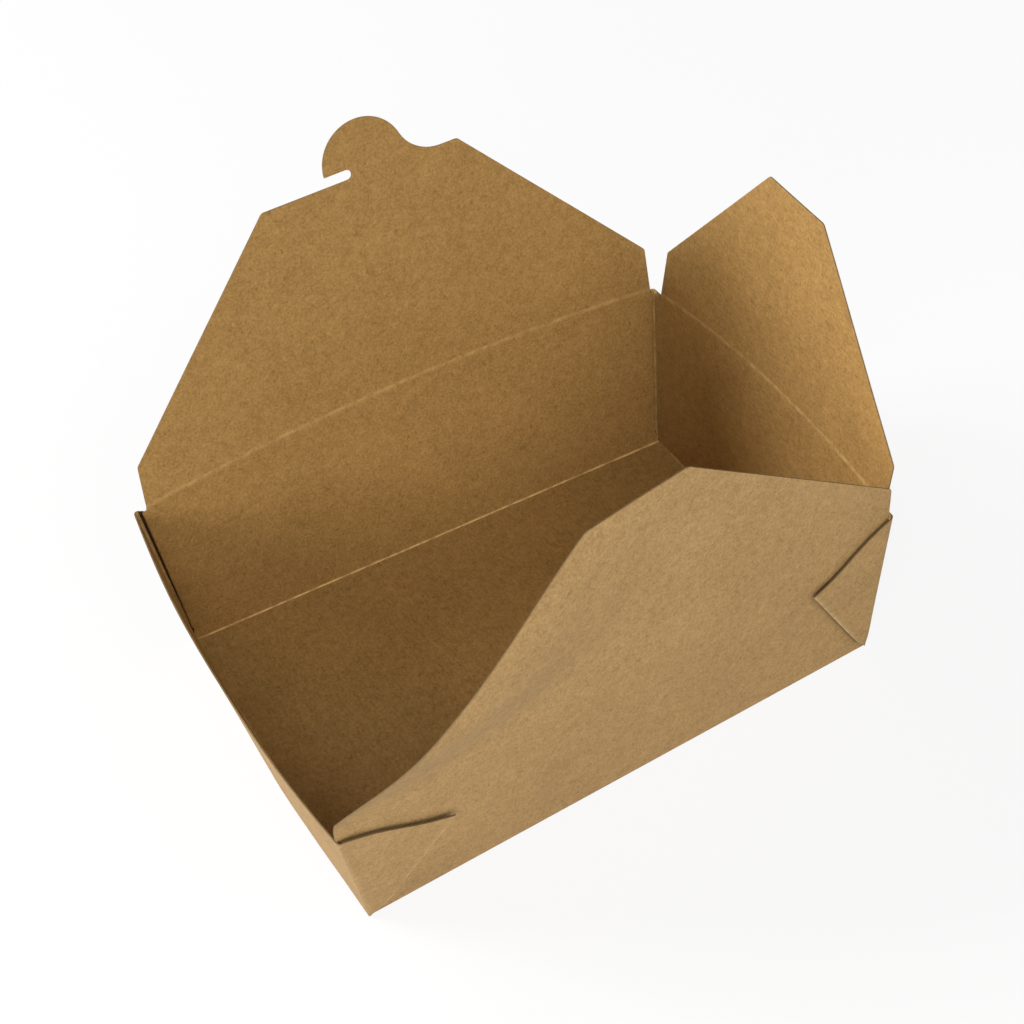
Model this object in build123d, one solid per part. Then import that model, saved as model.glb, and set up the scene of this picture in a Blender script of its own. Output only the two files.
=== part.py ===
from build123d import *
from math import cos, pi, sin
import os

os.makedirs("parts", exist_ok=True)

# Takeaway box folded from one sheet of kraft board, open, standing on its floor.
# Millimetres, +Z up, origin at the middle of the floor's underside.
# +X runs along the long side, +Y from the front wall to the back wall.

# Board
board = 0.45

# Tray, to the outside of the board
base_length = 197.0
base_width = 135.0
wall_height = 63.2
rim_flare_ends = 5.9
rim_flare_sides = 9.5
# The rim of the photographed box is racked: its ends lean to opposite corners
# and its front edge is turned, left corner out and right corner in.
end_skew = 2.8
front_skew = 7.8
# The left wall has no flap. Its free rim bulges out in the middle, and at the back
# it stands away from the end of the back wall.
left_rim_bow = 5.2
left_rim_spread = 3.0

# Corner webs, folded back double on the front and back walls
web_tip_run = 28.5
web_tip_height = 41.5
web_foot = 1.6
web_gap = 0.5
layer_gap = 0.25
corner_crevice = 0.4

# Flap creases: air between a wall and its flap, and the extra height of each
# wall whose flap closes on top of the flaps before it
crease_gap = 0.8
stack_gap = 0.25

# Back flap with its hook tab
back_lean = 9.0
back_inset = 2.8
back_shoulder = 17.0
back_depth = 85.4
back_top = 73.0
hook_radius = 15.0
hook_offset = 2.2
hook_rise = 4.3
hook_flank_end = 30.0
hook_slot_width = 3.6
hook_slot_end = 3.2

# Flap on the right end
end_lean = 9.0
end_inset = 3.6
end_shoulder = 16.4
end_depth = 75.8
end_top = 30.6

# Front flap, which carries on the plane of the front wall. Its top edge slants a little,
# and a belly beside its left side stands out most at belly_height and is gone at belly_end.
front_lean = 6.0
front_inset = 1.5
front_shoulder = 11.0
front_depth = 75.6
front_top = 35.0
front_slant = 3.6
belly_out = 10.3
belly_height = 36.0
belly_end = 75.0
belly_width_low = 120.0
belly_width_high = 40.0

flap_corner_round = 1.2

# Corners in order, anticlockwise from above: front left, front right, back right, back left
base_x = base_length / 2
base_y = base_width / 2
base_corners = [
    Vector(-base_x, -base_y),
    Vector(base_x, -base_y),
    Vector(base_x, base_y),
    Vector(-base_x, base_y),
]
rim_x = base_x + rim_flare_ends
rim_y = base_y + rim_flare_sides
rim_corners = [
    Vector(-rim_x - end_skew, -rim_y - front_skew),
    Vector(rim_x - end_skew, -rim_y + front_skew),
    Vector(rim_x + end_skew, rim_y),
    Vector(-rim_x + end_skew, rim_y),
]
FRONT, RIGHT, BACK, LEFT = range(4)
stack_step = board + stack_gap
wall_tops = {
    FRONT: wall_height + stack_step,
    RIGHT: wall_height,
    BACK: wall_height + 2 * stack_step,
    LEFT: wall_height,
}

# A web is two layers of board, one over the other, clear of the wall behind them
web_inner = web_gap
web_outer = web_inner + board + layer_gap
web_stack = web_outer + board
fold_inset = board + corner_crevice


def edge_ends(corners, wall):
    """Two corners of a wall's lower or upper edge."""
    return corners[wall], corners[(wall + 1) % 4]


def strip(start, end, height, margin, bow=0.0):
    """Board seen end-on along one edge: a thin level strip, its ends held back by margin."""
    along = (end - start).normalized()
    inward = Vector(-along.Y, along.X)
    first = start + along * margin
    last = end - along * margin
    middle = (first + last) / 2 - inward * bow
    if bow:
        outer = ThreePointArc(first, middle, last)
        inner = ThreePointArc(last + inward * board, middle + inward * board, first + inward * board)
    else:
        outer = Line(first, last)
        inner = Line(last + inward * board, first + inward * board)
    outline = [outer, Line(outer @ 1, inner @ 0), inner, Line(inner @ 1, outer @ 0)]
    return Pos(0, 0, height) * make_face(outline)


def wall_panel(wall, margin, bow=0.0, spread=0.0):
    """One wall, ruled from its straight crease on the floor up to its rim, whose start may stand out."""
    foot = strip(*edge_ends(base_corners, wall), 0, margin)
    start, end = edge_ends(rim_corners, wall)
    along = (end - start).normalized()
    outward = Vector(along.Y, -along.X)
    rim = strip(start + outward * spread, end, wall_tops[wall], margin, bow)
    return loft([foot, rim], ruled=True)


def sheet(plane, points, low, high):
    """Flat piece of board in a plane, between two heights over it."""
    face = plane.offset(low) * make_face(Polyline(*points, close=True))
    return extrude(face, amount=high - low, dir=plane.z_dir)


def corner_web(corner, wall, far, spread=0.0):
    """Folded web at one corner: inner layer from the long wall, outer layer from the end wall."""
    foot = base_corners[corner]
    rim = rim_corners[corner] + Vector(0, 0, wall_height)
    share = web_tip_height / wall_tops[wall]
    near_edge = foot + (rim_corners[corner] - foot) * share
    far_edge = base_corners[far] + (rim_corners[far] - base_corners[far]) * share
    along = (far_edge - near_edge).normalized()
    tip = near_edge + along * (web_tip_run - (near_edge - foot).dot(along)) + Vector(0, 0, web_tip_height)
    normal = (rim - foot).cross(tip - foot)
    outward = edge_ends(base_corners, wall)
    run = outward[1] - outward[0]
    if normal.dot(Vector(run.Y, -run.X)) < 0:
        normal = -normal
    plane = Plane(origin=foot, x_dir=rim - foot, z_dir=normal)
    tip_at = plane.to_local_coords(tip)
    side = 1 if tip_at.Y > 0 else -1
    tip_out = abs(tip_at.Y)
    rim_up = (rim - foot).length

    def diagonal(out):
        """Point of the diagonal fold at a distance from the corner edge."""
        return (web_foot + (tip_at.X - web_foot) * out / tip_out, side * out)

    def free_edge(out):
        """Point of the cut edge at a distance from the corner edge."""
        return (rim_up + (tip_at.X - rim_up) * out / tip_out, side * out)

    tip_point = (tip_at.X, tip_at.Y)
    outer_points = [diagonal(0), free_edge(-spread), tip_point]
    outer_layer = sheet(plane, outer_points, web_outer, web_stack)
    inner_points = [diagonal(fold_inset), free_edge(fold_inset), tip_point]
    inner_layer = sheet(plane, inner_points, web_inner, web_inner + board)
    fold_end = fold_inset + board
    turn_points = [diagonal(fold_inset), free_edge(fold_inset), free_edge(fold_end), diagonal(fold_end)]
    wall_turn = sheet(plane, turn_points, -board / 2, web_inner + board / 2)
    low_up, low_out = diagonal(fold_inset)
    crease_points = [(low_up, low_out), tip_point, free_edge(tip_out - board), (low_up + board, low_out)]
    diagonal_turn = sheet(plane, crease_points, web_inner, web_stack)
    return outer_layer + inner_layer + wall_turn + diagonal_turn


def make_tray():
    """Floor, four walls and the four corner webs, all one folded sheet."""
    tray = extrude(Rectangle(base_length, base_width), amount=board)
    tray += wall_panel(FRONT, fold_inset)
    tray += wall_panel(BACK, fold_inset)
    tray += wall_panel(RIGHT, -web_stack)
    tray += wall_panel(LEFT, -web_stack, left_rim_bow, left_rim_spread)
    for wall in (FRONT, BACK):
        near, far = wall, (wall + 1) % 4
        tray += corner_web(near, wall, far)
        tray += corner_web(far, wall, near, left_rim_spread if far == LEFT else 0.0)
    return tray


def crease_plane(wall, lean):
    """Plane of a flap: x along the rim, y up the flap, z to the outside, origin on the crease."""
    start, end = edge_ends(rim_corners, wall)
    along = (end - start).normalized()
    outward = Vector(along.Y, -along.X)
    middle = (start + end) / 2 - outward * (board / 2)
    crease = middle + Vector(0, 0, wall_tops[wall] + crease_gap / 2)
    upright = Plane(origin=crease, x_dir=along, z_dir=outward)
    return Plane(upright.location * Rot(X=lean))


def flap_outline(wall, inset, shoulder, depth, top, slant=0.0):
    """Flap outline: straight shoulders at the crease, then slanted sides to a narrower top edge."""
    start, end = edge_ends(rim_corners, wall)
    half = (end - start).length / 2 - inset
    foot = crease_gap / 2
    outline = make_face(
        Polyline(
            (-half, foot),
            (half, foot),
            (half, shoulder),
            (top / 2, depth + slant / 2),
            (-top / 2, depth - slant / 2),
            (-half, shoulder),
            close=True,
        )
    )
    return fillet(outline.vertices().sort_by(Axis.Y)[2:], flap_corner_round)


def hook_tab():
    """Hook on the back flap's top edge: a round head with one hollow flank, undercut by a slot."""
    centre = Vector(-hook_offset, back_depth + hook_rise)
    foot = Vector(-hook_flank_end, back_depth)
    reach = abs(foot.X - centre.X)
    hollow_radius = (reach**2 + hook_rise**2 - hook_radius**2) / (2 * (hook_radius + hook_rise))
    hollow = foot + Vector(0, hollow_radius)
    meet = centre + (hollow - centre).normalized() * hook_radius
    flank = make_face(
        [
            Line(centre, Vector(centre.X, back_depth)),
            Line(Vector(centre.X, back_depth), foot),
            RadiusArc(foot, meet, -hollow_radius),
            Line(meet, centre),
        ]
    )
    return Pos(centre) * Circle(hook_radius) + flank


def hook_slot():
    """Slot under the hook's head, open to its free side and round at its blind end."""
    half = hook_slot_width / 2
    blind = Vector(hook_slot_end + half, back_depth + half)
    length = hook_radius * 2
    opening = Pos(blind.X + length / 2, blind.Y) * Rectangle(length, hook_slot_width)
    return opening + Pos(blind) * Circle(half)


def make_flap(outline, wall, lean):
    """Cut a flap from the board and stand it on its wall."""
    return extrude(crease_plane(wall, lean) * outline, amount=board / 2, both=True)


def belly_share(up):
    """Share of the belly at a height up the front flap."""
    if up < belly_height:
        return sin(pi / 2 * up / belly_height) ** 2
    return max(0.0, cos(pi / 2 * min(1.0, (up - belly_height) / (belly_end - belly_height)))) ** 1.4


def belly_section(half, up):
    """Level strip of board across the front flap, pushed out beside the flap's left side."""
    side_slope = (half - front_top / 2) / (front_depth - front_shoulder)
    side = -half + max(0.0, up - front_shoulder) * side_slope
    ease = min(1.0, up / front_depth)
    width = belly_width_low + (belly_width_high - belly_width_low) * ease
    out = belly_out * belly_share(up)
    edge = half + front_inset
    profile = [(-edge, out), (side, out)]
    profile += [(side + width * k / 4, out * (0.5 + 0.5 * cos(pi * k / 4))) for k in (1, 2, 3, 4)]
    profile += [(edge, 0)]
    outer = Spline(*[(x, up, z + board / 2) for x, z in profile])
    inner = Spline(*[(x, up, z - board / 2) for x, z in profile])
    return make_face([outer, Line(outer @ 1, inner @ 1), inner, Line(inner @ 0, outer @ 0)])


def make_front_flap(outline):
    """Front flap: a sheet with a belly, cut to its outline and stood on the front wall."""
    start, end = edge_ends(rim_corners, FRONT)
    half = (end - start).length / 2
    heights = [belly_height * k / 4 for k in range(4)]
    heights += [belly_height + (belly_end - belly_height) * k / 4 for k in range(5)]
    heights += [front_depth + front_slant]
    bellied = loft([belly_section(half, up) for up in heights])
    cutter = extrude(outline, amount=2 * belly_out, both=True)
    return crease_plane(FRONT, front_lean) * (bellied & cutter)


back_outline = flap_outline(BACK, back_inset, back_shoulder, back_depth, back_top)
back_outline = back_outline + hook_tab() - hook_slot()
end_outline = flap_outline(RIGHT, end_inset, end_shoulder, end_depth, end_top)
front_outline = flap_outline(FRONT, front_inset, front_shoulder, front_depth, front_top, front_slant)

export_step(make_tray(), "parts/tray.step")
export_step(make_flap(back_outline, BACK, back_lean), "parts/back_flap.step")
export_step(make_flap(end_outline, RIGHT, end_lean), "parts/end_flap.step")
export_step(make_front_flap(front_outline), "parts/front_flap.step")
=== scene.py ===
import math
from dataclasses import dataclass

import bmesh
import bpy
from mathutils import Matrix, Vector, noise


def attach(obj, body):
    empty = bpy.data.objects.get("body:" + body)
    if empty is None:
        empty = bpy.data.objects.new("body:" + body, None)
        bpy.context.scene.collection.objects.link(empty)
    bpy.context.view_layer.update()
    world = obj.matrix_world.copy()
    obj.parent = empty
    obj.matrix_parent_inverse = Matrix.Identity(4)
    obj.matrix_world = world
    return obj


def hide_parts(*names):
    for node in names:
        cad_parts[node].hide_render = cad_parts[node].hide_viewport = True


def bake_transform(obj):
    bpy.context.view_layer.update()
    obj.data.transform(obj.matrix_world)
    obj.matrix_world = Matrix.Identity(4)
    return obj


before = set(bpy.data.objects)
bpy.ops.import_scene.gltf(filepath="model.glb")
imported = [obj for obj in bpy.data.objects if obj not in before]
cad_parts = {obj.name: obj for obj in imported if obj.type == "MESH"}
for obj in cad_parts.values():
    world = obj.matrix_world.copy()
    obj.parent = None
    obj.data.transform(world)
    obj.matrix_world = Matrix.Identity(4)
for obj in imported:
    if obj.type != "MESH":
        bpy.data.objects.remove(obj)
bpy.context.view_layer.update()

# Takeaway box folded from one sheet of kraft board. Sizes are in millimetres, in the CAD frame:
# +X along the long side, +Y from front to back, +Z up, origin in the middle of the floor's
# underside.
MILLIMETRE = 0.001

# Board and tray
board = 0.45
base_length = 197.0
base_width = 135.0
wall_height = 63.2
rim_flare_ends = 5.9
rim_flare_sides = 9.5
end_skew = 2.8
front_skew = 7.8
left_rim_bow = 5.2
left_rim_spread = 3.0
# The left wall bows out low down in its front half: power of the height there, then where along
# the wall that begins and over how long it sets in, as shares of the wall's length.
left_swell = 0.35
swell_start = 0.45
swell_run = 0.2
side_bow = 0.8
# The photographed floor is a little out of square: shift of each corner, from the front left one.
base_shifts = [(0.0, -1.0), (-1.4, 2.0), (0.0, -2.0), (-0.3, 5.5)]

# Folds
fold_reach = 0.8
floor_reach = 0.4
corner_round = 1.6
corner_foot_share = 0.3
foot_trim = 0.3
crease_gap = 0.8
stack_gap = 0.25
flap_crease_width = 0.7
foot_crease_width = 0.7
web_crease_width = 0.9
crease_dent = 0.12
web_crease = 4.0
end_foot_crease = 0.4
corner_crease = 0.35

# Corner webs: distance of each tip from the floor's corner and its height, from the front left one
web_tips = [(30.0, 41.0), (28.5, 46.3), (28.5, 41.5), (28.5, 41.5)]
web_foot = 0.5
inner_web_foot = 6.0
web_thin_height = 9.0
web_thin_share = 0.25
web_gap = 0.48
layer_gap = 0.3
layer_setback = 0.9
corner_crevice = 1.0
tip_lift = 0.3
tip_lift_reach = 22.0
edge_sway = 0.7
# At the back left corner the back wall reaches out along the rim.
back_wall_reach = 1.9

# Flaps
flap_corner_round = 0.8
flap_joint = 1.6
fold_half = 1.5
hook_radius = 15.0
hook_offset = 2.2
hook_rise = 4.3
hook_flank_end = 30.0
hook_slot_width = 3.6
hook_slot_end = 3.2

# Belly of the front flap beside its left side
belly_out = 9.3
belly_height = 31.0
belly_end = 75.0
belly_fall = 1.4
belly_width_low = 120.0
belly_width_high = 40.0

# Gentle waves of the board
wave_height = 0.3
wave_length = 45.0
wave_start = 25.0

# Mesh: pitch of the panels and of the rows at a flap's crease, and how near two places count as one
panel_pitch = 5.0
crease_pitch = 0.2
crease_rows = 23
corner_segments = 4
web_edge_steps = 8
hook_slot_steps = 8
hook_head_steps = 28
hook_flank_steps = 10
cut_tolerance = 0.0005
joint_tolerance = 0.001
corner_tolerance = 0.01
sharp_angle = 50.0

# Walls, in turn from the front
FRONT, RIGHT, BACK, LEFT = range(4)
# Places of the board's materials on a piece; the last one is painted shade on web faces that lie in a
# fold
OUTSIDE, INSIDE, CUT_EDGE, FOLD_SHADE = range(4)
# Sides of a web layer that lie in a fold and are given painted shade: the inside alone, or both
ONE_SIDE, BOTH_SIDES = 1.0, 2.0

base_x = base_length / 2
base_y = base_width / 2
rim_x = base_x + rim_flare_ends
rim_y = base_y + rim_flare_sides
base_square = [(-base_x, -base_y), (base_x, -base_y), (base_x, base_y), (-base_x, base_y)]
base_corners = [Vector(corner) + Vector(shift) for corner, shift in zip(base_square, base_shifts)]
rim_corners = [
    Vector((-rim_x - end_skew, -rim_y - front_skew)),
    Vector((rim_x - end_skew, -rim_y + front_skew)),
    Vector((rim_x + end_skew, rim_y)),
    Vector((-rim_x + end_skew, rim_y)),
]
stack_step = board + stack_gap
wall_tops = [wall_height + stack_step, wall_height, wall_height + 2 * stack_step, wall_height]
web_stack = web_gap + board + layer_gap + board
fold_inset = 2 * board + web_gap / 2 + corner_crevice


@dataclass
class Flap:
    """One flap: the wall that carries it, its lean and its outline from the crease up.

    The scored line rises by the arch over the hinge, and the board bends over a length of twice
    soft. The wall's bow is gone at bow_end. A side is drawn out by its first value at the foot and
    by its second at the shoulder, and its third value lowers that shoulder.
    """

    wall: int
    lean: float
    inset: float
    shoulder: float
    depth: float
    top: float
    arch: float
    soft: float
    bow_end: float
    top_slant: float = 0.0
    near_side: tuple = (0.0, 0.0, 0.0)
    far_side: tuple = (0.0, 0.0, 0.0)


back_flap = Flap(
    wall=BACK,
    lean=9.0,
    inset=2.8,
    shoulder=17.0,
    depth=85.4,
    top=73.0,
    arch=5.0,
    soft=2.0,
    bow_end=60.0,
    far_side=(1.3, -0.3, 1.6),
)
end_flap = Flap(
    wall=RIGHT,
    lean=9.0,
    inset=3.6,
    shoulder=16.4,
    depth=76.5,
    top=30.6,
    arch=5.5,
    soft=2.0,
    bow_end=35.0,
    top_slant=1.4,
    far_side=(-0.6, -1.8, -2.6),
)
front_flap = Flap(
    wall=FRONT,
    lean=6.0,
    inset=1.5,
    shoulder=11.0,
    depth=74.8,
    top=35.0,
    arch=0.0,
    soft=8.0,
    bow_end=60.0,
    top_slant=3.6,
    near_side=(1.2, 1.7, 1.0),
    far_side=(0.6, -0.8, -1.4),
)


def smooth_step(value):
    """Ease from 0 to 1."""
    value = min(1.0, max(0.0, value))
    return value * value * (3 - 2 * value)


def steps(start, end, pitch):
    """Evenly spaced places between two ends, both left out."""
    count = max(1, math.ceil(abs(end - start) / pitch))
    return [start + (end - start) * i / count for i in range(1, count)]


def arc(centre, radius, start, end, count):
    """Points of an arc, angles in degrees."""
    turn = [math.radians(start + (end - start) * i / count) for i in range(count + 1)]
    return [(centre[0] + radius * math.cos(a), centre[1] + radius * math.sin(a)) for a in turn]


# Shape of the walls


def axis_height(wall):
    """Height of a flap's crease."""
    return wall_tops[wall] + crease_gap / 2


def rim_ends(wall):
    """Both ends of a wall's rim. The left rim's back end stands out."""
    start, end = rim_corners[wall], rim_corners[(wall + 1) % 4]
    if wall != LEFT:
        return start, end
    along = (end - start).normalized()
    return start + Vector((along.y, -along.x)) * left_rim_spread, end


def wall_frame(wall, rise):
    """Start, length, direction and outward direction of a wall's outer face at a height."""
    share = rise / wall_tops[wall]
    rim_start, rim_end = rim_ends(wall)
    after = (wall + 1) % 4
    start = base_corners[wall] + (rim_start - base_corners[wall]) * share
    end = base_corners[after] + (rim_end - base_corners[after]) * share
    along = (end - start).normalized()
    return start, (end - start).length, along, Vector((along.y, -along.x))


def front_belly(u, up):
    """How far the front flap is pushed out, from the middle of its crease and up the flap."""
    if up <= 0 or up >= belly_end:
        return 0.0
    if up < belly_height:
        swell = math.sin(math.pi / 2 * up / belly_height) ** 2
    else:
        swell = math.cos(math.pi / 2 * (up - belly_height) / (belly_end - belly_height)) ** belly_fall
    half = flap_half(front_flap) + front_flap.inset
    side_slope = (half - front_flap.top / 2) / (front_flap.depth - front_flap.shoulder)
    side = -half + max(0.0, up - front_flap.shoulder) * side_slope
    ease = min(1.0, up / front_flap.depth)
    width = belly_width_low + (belly_width_high - belly_width_low) * ease
    fade = 0.5 + 0.5 * math.cos(math.pi * min(1.0, max(0.0, (u - side) / width)))
    return belly_out * swell * fade


def wall_bulge(wall, reach, length, rise):
    """How far a wall is pushed out of its plane."""
    run = min(1.0, max(0.0, reach / length))
    share = max(0.0, rise) / wall_tops[wall]
    bow = side_bow
    if wall == LEFT:
        bow = left_rim_bow
        share **= 1 - (1 - left_swell) * smooth_step((run - swell_start) / swell_run)
    return bow * share * 4 * run * (1 - run)


def wave(x, y, rise):
    """Gentle unevenness of the board, none at the floor."""
    swing = noise.noise(Vector((x, y, rise)) / wave_length)
    return wave_height * smooth_step(rise / wave_start) * swing


def wall_point(wall, reach, rise, out=0.0):
    """Point at a distance from a wall's start, a height, and a distance out of its outer face."""
    start, length, along, outward = wall_frame(wall, rise)
    flat = start + along * reach
    proud = out + wall_bulge(wall, reach, length, rise) + wave(flat.x, flat.y, rise)
    place = flat + outward * proud
    return Vector((place.x, place.y, rise))


def foot_fold(up):
    """Height and setback of the fold between floor and wall, from the distance up the wall."""
    if up >= fold_reach:
        return up, 0.0
    turn = (up + fold_reach) / (2 * fold_reach)
    return turn * turn * fold_reach, (1 - turn) ** 2 * fold_reach


def web_tip(wall, at_end):
    """Tip of the web on a wall: its distance from the corner line and its height."""
    corner = (wall + 1) % 4 if at_end else wall
    run, height = web_tips[corner]
    along = wall_frame(wall, height)[2]
    inward = -along if at_end else along
    shift = (rim_corners[corner] - base_corners[corner]) * height / wall_tops[wall]
    return Vector((run - shift.dot(inward), height))


def from_diagonal(place, tip):
    """Distance of a web's point from its diagonal fold."""
    root = Vector((fold_inset, web_foot))
    line = (tip - root).normalized()
    return (place - root).dot(Vector((-line.y, line.x)))


def web_fold(place, tip):
    """How far a web layer curls in to meet the other one, near the diagonal fold."""
    fold = (web_stack - web_gap) / 2
    inset = 1 - min(1.0, max(0.0, from_diagonal(place, tip) / fold))
    return fold * (1 - math.sqrt(1 - inset * inset))


def web_share(rise):
    """Share of the web's full stack at a height. The stack thins out to the floor."""
    return web_thin_share + (1 - web_thin_share) * smooth_step(rise / web_thin_height)


def corner_radius(rise):
    """Radius of the corner at a height. It tightens at the floor."""
    full = smooth_step(rise / web_thin_height)
    return corner_round * (corner_foot_share + (1 - corner_foot_share) * full)


def web_lift(place, tip):
    """How far a web springs off the wall near its tip."""
    return tip_lift * smooth_step(1 - (place - tip).length / tip_lift_reach)


# Sheets of board, drawn flat and then folded into place


def flat_sheet(outline):
    """One face with the given outline."""
    bm = bmesh.new()
    bm.faces.new([bm.verts.new((x, y, 0)) for x, y in outline])
    return bm


def round_corners(bm, places, radius):
    """Rounds the outline's corners at the given places."""
    spots = [Vector(place) for place in places]
    corners = [v for v in bm.verts if any((v.co.xy - s).length < corner_tolerance for s in spots)]
    bmesh.ops.bevel(
        bm,
        geom=corners,
        offset=radius,
        affect="VERTICES",
        segments=corner_segments,
        profile=0.5,
        material=-1,
    )


def cut(bm, place, normal, keep=lambda face: True):
    """Cuts the sheet's faces along a line, so that it can bend there."""
    faces = [f for f in bm.faces if keep(f)]
    edges = list({e for f in faces for e in f.edges})
    verts = list({v for f in faces for v in f.verts})
    bmesh.ops.bisect_plane(
        bm,
        geom=verts + edges + faces,
        dist=cut_tolerance,
        plane_co=(*place, 0),
        plane_no=(*normal, 0),
    )


def cut_grid(bm, columns, rows):
    """Cuts the sheet along upright columns and level rows."""
    for x in columns:
        cut(bm, (x, 0), (1, 0))
    for y in rows:
        cut(bm, (0, y), (0, 1))


def mark_joint(bm, *heights):
    """Marks the level edges where a sheet runs on into the next one."""
    joint = bm.verts.layers.float.new("joint")
    for v in bm.verts:
        v[joint] = float(any(abs(v.co.y - height) < joint_tolerance for height in heights))


def mark_fold_shade(bm, start, end, sides):
    """Marks the web layers, which lie before the start and past the end of their sheet's turns, for
    the painted shade on their faces in the fold.
    """
    folded = bm.verts.layers.float.new("folded")
    for v in bm.verts:
        v[folded] = 0.0 if start < v.co.x < end else sides


def fold_sheet(bm, place, crease):
    """Moves every point of a flat sheet to its place, and notes how near it is to a crease."""
    mark = bm.verts.layers.float.new("crease")
    for v in bm.verts:
        x, y = v.co.xy
        v[mark] = crease(x, y)
        v.co = place(x, y)


def thicken(bm):
    """Gives the sheet its thickness, inwards, with its own face material on each side and edge, and
    painted shade on the web faces that lie in a fold.
    """
    bm.normal_update()
    joint = bm.verts.layers.float.get("joint")
    folded = bm.verts.layers.float.get("folded")
    outer = bm.faces[:]
    grown = bmesh.ops.extrude_face_region(bm, geom=outer, use_keep_orig=True)["geom"]
    inner = [g for g in grown if isinstance(g, bmesh.types.BMFace)]
    inward = [(g, g.normal.copy()) for g in grown if isinstance(g, bmesh.types.BMVert)]
    for v, normal in inward:
        v.co -= normal * board
    for f in bm.faces:
        joined = joint is not None and all(v[joint] > 0.5 for v in f.verts)
        f.material_index = INSIDE if joined else CUT_EDGE
        f.smooth = True
    for faces, plain, sides in ((outer, OUTSIDE, BOTH_SIDES), (inner, INSIDE, ONE_SIDE)):
        for f in faces:
            # Web faces that lie in a fold get painted shade, a near-black colour standing in for the
            # dark inside the slits and crevices.
            in_fold_shade = folded is not None and all(v[folded] >= sides for v in f.verts)
            f.material_index = FOLD_SHADE if in_fold_shade else plain
    bmesh.ops.recalc_face_normals(bm, faces=bm.faces[:])


def make_piece(name, bm):
    """Turns a finished sheet into an object at the origin, in metres."""
    thicken(bm)
    bmesh.ops.scale(bm, vec=(MILLIMETRE,) * 3, verts=bm.verts[:])
    mesh = bpy.data.meshes.new(name)
    bm.to_mesh(mesh)
    bm.free()
    mesh.set_sharp_from_angle(angle=math.radians(sharp_angle))
    for material in board_materials:
        mesh.materials.append(material)
    piece = bpy.data.objects.new(name, mesh)
    bpy.context.scene.collection.objects.link(piece)
    return piece


def crease_line(distance, width=foot_crease_width):
    """Strength of a crease at a distance from its middle."""
    return math.exp(-((distance / width) ** 2))


def diagonal_crease(place, tip):
    """Strength of the crease at a web's diagonal fold."""
    return web_crease * crease_line(from_diagonal(place, tip), web_crease_width)


# Rows of cuts at the fold between floor and wall, and distances of cuts from a web's diagonal fold
fold_rows = [fold_reach * k / 4 for k in range(-3, 9)]
web_fold_lines = [0.06, 0.2, 0.4, 0.6, 1.0, 1.5, 2.2]


def make_floor():
    """Flat floor of the tray, reaching a little under the folds."""

    def place(run, share):
        front = base_corners[0].lerp(base_corners[1], run)
        back = base_corners[3].lerp(base_corners[2], run)
        spot = front.lerp(back, share)
        return Vector((spot.x, spot.y, 0))

    side, end = floor_reach / base_length, floor_reach / base_width
    bm = flat_sheet([(side, end), (side, 1 - end), (1 - side, 1 - end), (1 - side, end)])
    columns = steps(side, 1 - side, panel_pitch / base_length)
    rows = steps(end, 1 - end, panel_pitch / base_width)
    cut_grid(bm, columns, rows)
    joint = bm.verts.layers.float.new("joint")
    for v in bm.verts:
        v[joint] = 1.0
    fold_sheet(bm, place, lambda run, share: 0.0)
    return make_piece("tray_floor", bm)


def web_outline(turn, tip, foot, setback):
    """Outline of one web layer from its foot to the rim, measured past the end of its wall."""
    line = tip - Vector((turn, web_foot))
    root = (turn + line.x * (foot - web_foot) / line.y, foot)
    short = tip - line.normalized() * setback
    rim = Vector((turn, wall_height - setback))
    across = Vector((short.y - rim.y, rim.x - short.x)).normalized()
    edge = []
    for k in range(web_edge_steps + 1):
        share = k / web_edge_steps
        sway = edge_sway * math.sin(2 * math.pi * share)
        edge.append(tuple(short.lerp(rim, share) + across * sway))
    return [(0, foot), root, *edge]


def wall_outline(span, top, foot, near_web, far_web, rim=()):
    """Outline of a wall with a web layer past each end."""
    return [
        (foot, -fold_reach),
        (span - foot, -fold_reach),
        *[(span + x, y) for x, y in far_web],
        (span, top),
        *rim,
        (0, top),
        *[(-x, y) for x, y in reversed(near_web)],
    ]


def cut_webs(bm, span, turn, tips):
    """Cuts the webs along lines beside their diagonal folds."""
    for start, tip, side in ((-turn, tips[0], -1), (span + turn, tips[1], 1)):
        across = Vector((side * (web_foot - tip.y), tip.x - turn)).normalized()
        for off in web_fold_lines:
            place = Vector((start, web_foot)) + across * off
            cut(bm, place, across, lambda f: (f.calc_center_median().x - start) * side > 0)


def cut_wall(bm, span, turn, tips):
    """Cuts a wall and its webs so that they can bend."""
    turns = [turn * k / 4 for k in range(5)]
    columns = steps(0, span, panel_pitch) + [-t for t in turns] + [span + t for t in turns]
    columns += steps(-turn, -tips[0].x, panel_pitch / 2)
    columns += steps(span + turn, span + tips[1].x, panel_pitch / 2)
    cut_grid(bm, columns, fold_rows + steps(fold_rows[-1], wall_height, panel_pitch))
    cut_webs(bm, span, turn, tips)


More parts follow.
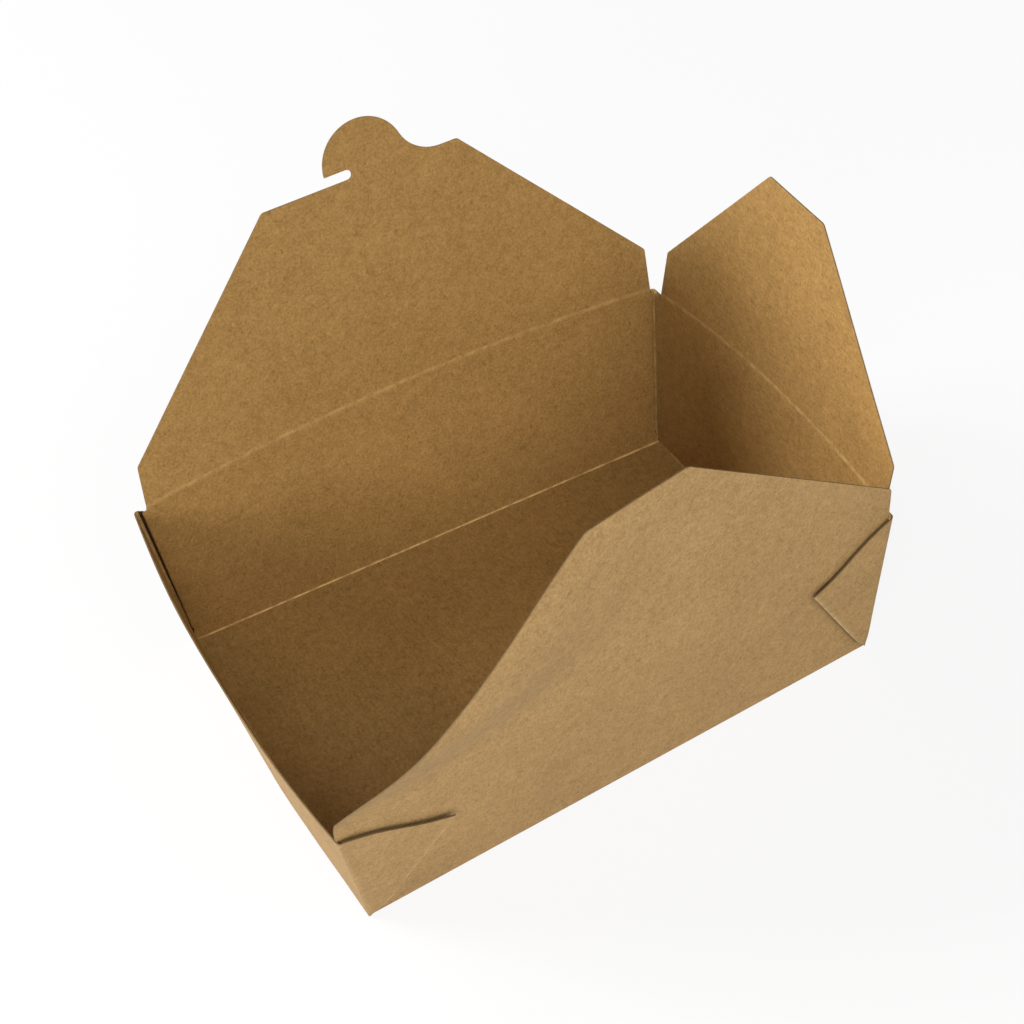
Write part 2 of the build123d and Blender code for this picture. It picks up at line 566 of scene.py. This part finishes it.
def make_long_wall(name, wall, foot_crease):
    """Front or back wall with the inner layers of its webs, turned back on its outer face."""
    span = (rim_corners[(wall + 1) % 4] - rim_corners[wall]).length - 2 * fold_inset
    turn_radius = web_gap / 2
    turn = math.pi * turn_radius
    webs = [web_tip(wall, at_end) for at_end in (False, True)]
    tips = [Vector((turn + web.x - fold_inset, web.y)) for web in webs]

    def web_place(x, rise):
        """Point of a web from the corner line of this wall."""
        return Vector((fold_inset + max(-x, x - span) - turn, rise))

    def place(x, up):
        rise, setback = foot_fold(up)
        first = board + (fold_inset - board) * smooth_step(rise / inner_web_foot)
        last = wall_frame(wall, rise)[1] - first
        if wall == BACK:
            last += back_wall_reach * rise / wall_height
        if 0 <= x <= span:
            return wall_point(wall, first + (last - first) * x / span, rise, -setback)
        past = max(-x, x - span)
        side = -1 if x < 0 else 1
        end = first if x < 0 else last
        if past <= turn:
            angle = past / turn_radius
            beyond = side * turn_radius * math.sin(angle)
            out = turn_radius * (1 - math.cos(angle)) * web_share(rise)
            return wall_point(wall, end + beyond, rise, out)
        spot, tip = web_place(x, rise), webs[x > 0]
        out = (web_gap + web_fold(spot, tip)) * web_share(rise) + web_lift(spot, tip)
        return wall_point(wall, end - side * (past - turn), rise, out)

    def crease(x, up):
        if -turn <= x <= span + turn:
            return foot_crease * crease_line(up)
        return diagonal_crease(web_place(x, up), webs[x > 0])

    top = axis_height(wall) - flap_joint
    layers = [web_outline(turn, tip, inner_web_foot, layer_setback) for tip in tips]
    bm = flat_sheet(wall_outline(span, top, 0.0, *layers))
    cut_wall(bm, span, turn, tips)
    mark_joint(bm, -fold_reach, top)
    mark_fold_shade(bm, -turn / 2, span + turn / 2, BOTH_SIDES)
    fold_sheet(bm, place, crease)
    return make_piece(name, bm)


def flap_room(flap, span):
    """Room at an end wall's rim for its flap, from the far end."""
    joint = axis_height(flap.wall) - flap_joint
    margin = span / 2 - flap_half(flap)
    far = span - margin
    return [(far, wall_height), (far, joint), (margin, joint), (margin, wall_height)]


def make_end_wall(name, wall, flap):
    """End wall that turns round both corners into the outer layers of the webs."""
    rim_start, rim_end = rim_ends(wall)
    span = (rim_end - rim_start).length + 2 * (web_stack - corner_round)
    turn = corner_round * math.pi / 2
    before, after = (wall - 1) % 4, (wall + 1) % 4
    webs = [web_tip(before, True), web_tip(after, False)]
    spread = left_rim_spread / wall_height if wall == LEFT else 0.0
    tips = [Vector((turn + web.x - corner_round, web.y)) for web in webs]
    tips[0].x += spread * tips[0].y

    def web_place(x, rise):
        """Point of a web from the corner line of the wall that it lies on."""
        if x > 0:
            return Vector((corner_radius(rise) + x - span - turn, rise))
        return Vector((corner_radius(rise) - x - turn - spread * rise, rise))

    def place(x, up):
        rise, setback = foot_fold(up)
        stack = web_stack * web_share(rise)
        radius = corner_radius(rise)
        margin = stack - radius
        last = wall_frame(wall, rise)[1] + margin
        if 0 <= x <= span:
            return wall_point(wall, -margin + (last + margin) * x / span, rise, -setback)
        past = max(-x, x - span)
        side = -1 if x < 0 else 1
        if past <= turn:
            angle = past / corner_round
            end = -margin if x < 0 else last
            beyond = side * radius * math.sin(angle)
            return wall_point(wall, end + beyond, rise, -radius * (1 - math.cos(angle)) - setback)
        spot, tip = web_place(x, rise), webs[x > 0]
        out = stack - web_fold(spot, tip) * web_share(rise) + web_lift(spot, tip) - setback
        if x > 0:
            return wall_point(after, spot.x, rise, out)
        return wall_point(before, wall_frame(before, rise)[1] - spot.x, rise, out)

    def crease(x, up):
        if 0 <= x <= span:
            return end_foot_crease * crease_line(up)
        if -turn <= x <= span + turn:
            return corner_crease
        return diagonal_crease(web_place(x, up), webs[x > 0])

    layers = [web_outline(turn, tip, web_foot, 0.0) for tip in tips]
    rim = flap_room(flap, span) if flap else ()
    bm = flat_sheet(wall_outline(span, wall_height, foot_trim, *layers, rim))
    cut_wall(bm, span, turn, tips)
    joints = [-fold_reach, axis_height(wall) - flap_joint] if flap else [-fold_reach]
    mark_joint(bm, *joints)
    mark_fold_shade(bm, -turn, span + turn, ONE_SIDE)
    fold_sheet(bm, place, crease)
    return make_piece(name, bm)


# Flaps


def hook_outline(depth):
    """Hook on the back flap's top edge, from its slot round its head to its hollow flank."""
    half = hook_slot_width / 2
    blind = (hook_slot_end + half, depth + half)
    head = Vector((-hook_offset, depth + hook_rise))
    across = hook_flank_end - hook_offset
    hollow_radius = (across**2 + hook_rise**2 - hook_radius**2) / (2 * (hook_radius + hook_rise))
    hollow = Vector((-hook_flank_end, depth + hollow_radius))
    meet = math.degrees(math.atan2(hollow.y - head.y, hollow.x - head.x))
    lip = math.degrees(math.asin((hook_slot_width - hook_rise) / hook_radius))
    return (
        arc(blind, half, 270, 90, hook_slot_steps)
        + arc(head, hook_radius, lip, meet, hook_head_steps)
        + arc(hollow, hollow_radius, meet - 180, -90, hook_flank_steps)[1:]
    )


def flap_half(flap):
    """Half the width of a flap at its crease."""
    return (rim_corners[(flap.wall + 1) % 4] - rim_corners[flap.wall]).length / 2 - flap.inset


def flap_outline(flap, top_edge=()):
    """Outline of a flap, from just under its crease."""
    half = flap_half(flap)
    near_foot, near_shoulder, near_drop = flap.near_side
    far_foot, far_shoulder, far_drop = flap.far_side
    corners = [
        (half + far_shoulder, flap.shoulder - far_drop),
        (flap.top / 2, flap.depth + flap.top_slant / 2),
        (-flap.top / 2, flap.depth - flap.top_slant / 2),
        (-half - near_shoulder, flap.shoulder - near_drop),
    ]
    foot = [(-half - near_foot, -flap_joint), (half + far_foot, -flap_joint)]
    outline = [*foot, *corners[:2], *top_edge, *corners[2:]]
    return outline, corners


def flap_arch(flap, u):
    """Height of the scored line over the hinge line."""
    return flap.arch * (1 - (u / flap_half(flap)) ** 2)


def flap_rise(flap, u, q):
    """Distance up the flap of a row that follows the scored line near it and levels out above."""
    if q < 0:
        return q + flap_arch(flap, u) * (1 + q / flap_joint)
    return q + flap_arch(flap, u) * (1 - smooth_step(q / flap.shoulder))


def flap_point(flap, u, q):
    """Point of a flap's outer face."""
    wall = flap.wall
    up = flap_rise(flap, u, q)
    start, length, along, outward = wall_frame(wall, wall_tops[wall])
    lean = math.radians(flap.lean)
    reach = length / 2 + u
    height = axis_height(wall) + up * math.cos(lean)
    fade = 1 - smooth_step(up / flap.bow_end)
    bulge = wall_bulge(wall, reach, length, wall_tops[wall]) * fade
    if wall == FRONT:
        bulge += front_belly(u, up)
    flat = start + along * reach
    proud = up * math.sin(lean) + bulge + wave(flat.x, flat.y, height)
    proud -= crease_dent * crease_line(up - flap_arch(flap, u), flap_crease_width) * bool(flap.arch)
    place = flat + outward * proud
    on_flap = Vector((place.x, place.y, height))
    on_wall = wall_point(wall, reach, axis_height(wall) + up)
    return on_wall.lerp(on_flap, smooth_step((up + flap.soft) / (2 * flap.soft)))


def make_flap(name, flap, body, top_edge=(), *, crease_strength):
    """One flap with the strip of board that bends at its crease."""

    def crease(u, q):
        above = flap_rise(flap, u, q) - flap_arch(flap, u)
        return crease_strength * crease_line(above, flap_crease_width)

    outline, corners = flap_outline(flap, top_edge)
    bm = flat_sheet(outline)
    round_corners(bm, corners, flap_corner_round)
    half = flap_half(flap)
    fine = [-flap_joint + crease_pitch * k for k in range(1, crease_rows + 1)]
    top = max(y for x, y in outline)
    cut_grid(bm, steps(-half, half, panel_pitch / 2), fine + steps(fine[-1], top, panel_pitch / 2))
    mark_joint(bm, -flap_joint)
    fold_sheet(bm, lambda u, q: flap_point(flap, u, q), crease)
    piece = make_piece(name, bm)
    height = axis_height(flap.wall)
    start = wall_point(flap.wall, half, height - fold_half)
    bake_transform(piece)
    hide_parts(body)


# Materials

# Texture of the board: noise scales per metre, turns of the fibres in degrees and shares of each layer
grain_scale = 1200.0
mottle_scale = 320.0
cloud_scale = 45.0
fibre_scale = 1100.0
speck_scale = 420.0
wear_scale = 260.0
fibre_turns = [(20, 35, 15), (50, -30, 70)]
fibre_stretch = (1, 0.3, 1)
fibre_share = 0.45
cloud_share = 0.5
broad_share = 0.55
speck_range = (0.19, 0.27)
wear_range = (-0.12, 0.12)
least_wear = 0.25
fibre_bump = 0.35
fibre_height = 0.0002
board_specular = 0.25


def link(tree, source, target):
    """Joins two sockets."""
    tree.links.new(source, target)


def new_group(name, inputs, outputs):
    """Empty shader node group with named float, vector and colour sockets."""
    group = bpy.data.node_groups.new(name, "ShaderNodeTree")
    for label, kind in inputs:
        group.interface.new_socket(label, in_out="INPUT", socket_type=kind)
    for label, kind in outputs:
        group.interface.new_socket(label, in_out="OUTPUT", socket_type=kind)
    return group, group.nodes.new("NodeGroupInput"), group.nodes.new("NodeGroupOutput")


def math_node(tree, operation, first, second):
    """Math node whose inputs are numbers or sockets."""
    node = tree.nodes.new("ShaderNodeMath")
    node.operation = operation
    for socket, value in zip(node.inputs, (first, second)):
        if isinstance(value, (int, float)):
            socket.default_value = value
        else:
            link(tree, value, socket)
    return node.outputs[0]


def noise_node(tree, vector, scale, detail=2.0):
    """Noise centred on zero."""
    node = tree.nodes.new("ShaderNodeTexNoise")
    node.inputs["Scale"].default_value = scale
    node.inputs["Detail"].default_value = detail
    link(tree, vector, node.inputs["Vector"])
    return math_node(tree, "SUBTRACT", node.outputs["Fac"], 0.5)


def stretched(tree, vector, turn, scale):
    """Coordinates turned and stretched, for fibres."""
    node = tree.nodes.new("ShaderNodeMapping")
    node.inputs["Rotation"].default_value = [math.radians(a) for a in turn]
    node.inputs["Scale"].default_value = scale
    link(tree, vector, node.inputs["Vector"])
    return node.outputs["Vector"]


def make_fibre_group():
    """Mottling, fibres and dark specks of kraft board."""
    group, given, result = new_group(
        "kraft_fibre",
        [
            ("Vector", "NodeSocketVector"),
            ("Mottling", "NodeSocketFloat"),
            ("Specks", "NodeSocketFloat"),
        ],
        [("Tone", "NodeSocketFloat"), ("Height", "NodeSocketFloat")],
    )
    vector = given.outputs["Vector"]
    grain = noise_node(group, vector, grain_scale)
    mottle = noise_node(group, vector, mottle_scale)
    cloud = noise_node(group, vector, cloud_scale)
    layers = [
        noise_node(group, stretched(group, vector, turn, fibre_stretch), fibre_scale)
        for turn in fibre_turns
    ]
    fibres = math_node(group, "ADD", *layers)
    fine = math_node(group, "ADD", grain, math_node(group, "MULTIPLY", fibres, fibre_share))
    broad = math_node(group, "ADD", mottle, math_node(group, "MULTIPLY", cloud, cloud_share))
    both = math_node(group, "ADD", fine, math_node(group, "MULTIPLY", broad, broad_share))
    spots = group.nodes.new("ShaderNodeMapRange")
    spots.inputs["From Min"].default_value, spots.inputs["From Max"].default_value = speck_range
    link(group, noise_node(group, vector, speck_scale, detail=1.0), spots.inputs["Value"])
    speck = math_node(group, "MULTIPLY", spots.outputs["Result"], given.outputs["Specks"])
    swing = math_node(group, "MULTIPLY", both, given.outputs["Mottling"])
    tone = math_node(group, "ADD", 0.5, swing)
    link(group, math_node(group, "SUBTRACT", tone, speck), result.inputs["Tone"])
    link(group, fine, result.inputs["Height"])
    return group


def make_wear_group():
    """Broken light line where the board is creased."""
    group, given, result = new_group(
        "crease_wear",
        [
            ("Vector", "NodeSocketVector"),
            ("Crease", "NodeSocketFloat"),
            ("Strength", "NodeSocketFloat"),
        ],
        [("Wear", "NodeSocketFloat")],
    )
    patches = noise_node(group, given.outputs["Vector"], wear_scale, detail=3.0)
    broken = group.nodes.new("ShaderNodeMapRange")
    broken.inputs["From Min"].default_value, broken.inputs["From Max"].default_value = wear_range
    broken.inputs["To Min"].default_value = least_wear
    link(group, patches, broken.inputs["Value"])
    worn = math_node(group, "MULTIPLY", broken.outputs["Result"], given.outputs["Crease"])
    wear = math_node(group, "MULTIPLY", worn, given.outputs["Strength"])
    link(group, wear, result.inputs["Wear"])
    return group


def colour_mix(tree, factor, first, second):
    """Mix of two colours, each a colour or a socket."""
    node = tree.nodes.new("ShaderNodeMix")
    node.data_type = "RGBA"
    link(tree, factor, node.inputs["Factor"])
    # The node's colour sockets come after those for numbers and vectors.
    for socket, value in zip((node.inputs[6], node.inputs[7]), (first, second)):
        if isinstance(value, tuple):
            socket.default_value = (*value, 1)
        else:
            link(tree, value, socket)
    return node.outputs[2]


def make_board_material(name, dark, light, worn, *, roughness, mottling, specks, wear):
    """Kraft board with fibres, specks and worn creases."""
    material = bpy.data.materials.new(name)
    material.use_nodes = True
    tree = material.node_tree
    shader = next(n for n in tree.nodes if n.type == "BSDF_PRINCIPLED")
    shader.inputs["Roughness"].default_value = roughness
    shader.inputs["Specular IOR Level"].default_value = board_specular
    vector = tree.nodes.new("ShaderNodeTexCoord").outputs["Object"]
    fibre = tree.nodes.new("ShaderNodeGroup")
    fibre.node_tree = fibre_group
    fibre.inputs["Mottling"].default_value = mottling
    fibre.inputs["Specks"].default_value = specks
    link(tree, vector, fibre.inputs["Vector"])
    crease = tree.nodes.new("ShaderNodeAttribute")
    crease.attribute_name = "crease"
    worn_line = tree.nodes.new("ShaderNodeGroup")
    worn_line.node_tree = wear_group
    worn_line.inputs["Strength"].default_value = wear
    link(tree, vector, worn_line.inputs["Vector"])
    link(tree, crease.outputs["Fac"], worn_line.inputs["Crease"])
    plain = colour_mix(tree, fibre.outputs["Tone"], dark, light)
    colour = colour_mix(tree, worn_line.outputs["Wear"], plain, worn)
    link(tree, colour, shader.inputs["Base Color"])
    bump = tree.nodes.new("ShaderNodeBump")
    bump.inputs["Strength"].default_value = fibre_bump
    bump.inputs["Distance"].default_value = fibre_height
    link(tree, fibre.outputs["Height"], bump.inputs["Height"])
    link(tree, bump.outputs["Normal"], shader.inputs["Normal"])
    return material


def make_floor_material():
    """Pale floor that shows white to the camera and keeps part of the shadow."""
    material = bpy.data.materials.new("studio_floor")
    material.use_nodes = True
    tree = material.node_tree
    tree.nodes.clear()
    output = tree.nodes.new("ShaderNodeOutputMaterial")
    paper = tree.nodes.new("ShaderNodeBsdfDiffuse")
    paper.inputs["Color"].default_value = (*[floor_grey] * 3, 1)
    white = tree.nodes.new("ShaderNodeEmission")
    rays = tree.nodes.new("ShaderNodeLightPath")
    mix = tree.nodes.new("ShaderNodeMixShader")
    seen = math_node(tree, "MAXIMUM", rays.outputs["Is Camera Ray"], rays.outputs["Is Glossy Ray"])
    seen = math_node(tree, "MAXIMUM", seen, rays.outputs["Is Transmission Ray"])
    link(tree, math_node(tree, "MULTIPLY", seen, floor_whiteness), mix.inputs["Fac"])
    link(tree, paper.outputs["BSDF"], mix.inputs[1])
    link(tree, white.outputs["Emission"], mix.inputs[2])
    link(tree, mix.outputs["Shader"], output.inputs["Surface"])
    return material


# Studio

# Camera: place and aim in the CAD frame, roll in degrees, lens and sensor in millimetres
camera_place = Vector((-187.46, -395.66, 477.56))
camera_aim = Vector((30.52, 64.33, 0.0))
camera_roll = -6.97
camera_lens = 64.19
sensor_width = 36.0
nearest_seen = 0.01

floor_size = 14.0
floor_grey = 0.8
floor_whiteness = 0.85
world_strength = 0.04

# Softboxes: place and aim in metres, width and height in metres, power in watts
softboxes = {
    "front_softbox": ((-0.45, -1.5, 0.75), (0, 0, 0.08), (1.2, 0.9), 6.0),
    "front_high_softbox": ((-0.3, -1.2, 1.5), (0, 0, 0.05), (1.2, 0.9), 12.0),
    "right_high_softbox": ((0.7, -1.1, 1.25), (0, 0, 0.05), (1.0, 0.8), 8.0),
    "left_front_softbox": ((-1.1, -1.1, 0.5), (0.05, 0, 0.1), (0.7, 0.5), 9.5),
    "left_back_softbox": ((-1.2, 0.8, 0.72), (0.05, 0, 0.1), (0.6, 0.6), 21.0),
    "back_softbox": ((-0.8, 1.2, 1.3), (0, 0, 0.05), (1.2, 0.9), 15.0),
}


def make_camera():
    """Camera at the photograph's viewing angle."""
    data = bpy.data.cameras.new("camera")
    data.lens = camera_lens
    data.sensor_width = sensor_width
    data.sensor_fit = "HORIZONTAL"
    data.clip_start = nearest_seen
    camera = bpy.data.objects.new("camera", data)
    bpy.context.scene.collection.objects.link(camera)
    turn = (camera_aim - camera_place).to_track_quat("-Z", "Y").to_matrix().to_4x4()
    roll = Matrix.Rotation(math.radians(camera_roll), 4, "Z")
    camera.matrix_world = Matrix.Translation(camera_place * MILLIMETRE) @ turn @ roll
    bpy.context.scene.camera = camera


def make_softbox(name, place, aim, size, power):
    """Large soft area light."""
    data = bpy.data.lights.new(name, "AREA")
    data.shape = "RECTANGLE"
    data.size, data.size_y = size
    data.energy = power
    light = bpy.data.objects.new(name, data)
    bpy.context.scene.collection.objects.link(light)
    turn = (Vector(aim) - Vector(place)).to_track_quat("-Z", "Y").to_matrix().to_4x4()
    light.matrix_world = Matrix.Translation(Vector(place)) @ turn


def make_studio():
    """Pale floor, white surroundings and soft light."""
    bm = bmesh.new()
    bmesh.ops.create_grid(bm, x_segments=1, y_segments=1, size=floor_size / 2)
    mesh = bpy.data.meshes.new("studio_floor")
    bm.to_mesh(mesh)
    bm.free()
    mesh.materials.append(make_floor_material())
    floor = bpy.data.objects.new("studio_floor", mesh)
    bpy.context.scene.collection.objects.link(floor)
    world = bpy.data.worlds.new("studio")
    world.use_nodes = True
    tree = world.node_tree
    background = next(n for n in tree.nodes if n.type == "BACKGROUND")
    background.inputs["Color"].default_value = (1, 1, 1, 1)
    rays = tree.nodes.new("ShaderNodeLightPath")
    lift = math_node(tree, "MULTIPLY", rays.outputs["Is Camera Ray"], 1 - world_strength)
    link(tree, math_node(tree, "ADD", lift, world_strength), background.inputs["Strength"])
    bpy.context.scene.world = world
    for name, values in softboxes.items():
        make_softbox(name, *values)


fibre_group = make_fibre_group()
wear_group = make_wear_group()
board_materials = [
    make_board_material(
        "kraft_outside",
        dark=(0.255, 0.152, 0.053),
        light=(0.435, 0.272, 0.11),
        worn=(0.55, 0.39, 0.21),
        roughness=0.72,
        mottling=1.35,
        specks=0.3,
        wear=0.25,
    ),
    make_board_material(
        "kraft_inside",
        dark=(0.235, 0.132, 0.036),
        light=(0.435, 0.252, 0.081),
        worn=(0.74, 0.5, 0.2),
        roughness=0.66,
        mottling=1.3,
        specks=0.4,
        wear=1.0,
    ),
    # Cut edges: darker than the faces, partly the board's own edge tone and partly painted shade for
    # the edges seen in the webs' slits.
    make_board_material(
        "kraft_cut_edge",
        dark=(0.13, 0.08, 0.031),
        light=(0.21, 0.136, 0.06),
        worn=(0.21, 0.136, 0.06),
        roughness=0.8,
        mottling=0.6,
        specks=0.0,
        wear=0.0,
    ),
    # Painted shade: near-black colour for the web faces that lie in the folds, standing in for the
    # shade seen through slits and crevices.
    make_board_material(
        "kraft_painted_fold_shade",
        dark=(0.03, 0.018, 0.007),
        light=(0.05, 0.03, 0.012),
        worn=(0.05, 0.03, 0.012),
        roughness=0.8,
        mottling=0.6,
        specks=0.0,
        wear=0.0,
    ),
]

tray_pieces = [
    make_floor(),
    make_long_wall("front_wall", FRONT, foot_crease=0.5),
    make_long_wall("back_wall", BACK, foot_crease=1.8),
    make_end_wall("right_wall", RIGHT, end_flap),
    make_end_wall("left_wall", LEFT, None),
]
for piece in tray_pieces:
    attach(piece, "tray")
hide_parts("tray")

hook = hook_outline(back_flap.depth)
make_flap("back_flap_board", back_flap, "back_flap", hook, crease_strength=0.32)
make_flap("end_flap_board", end_flap, "end_flap", crease_strength=0.4)
make_flap("front_flap_board", front_flap, "front_flap", crease_strength=0.2)

make_studio()
make_camera()
bpy.context.scene.view_settings.view_transform = "Standard"
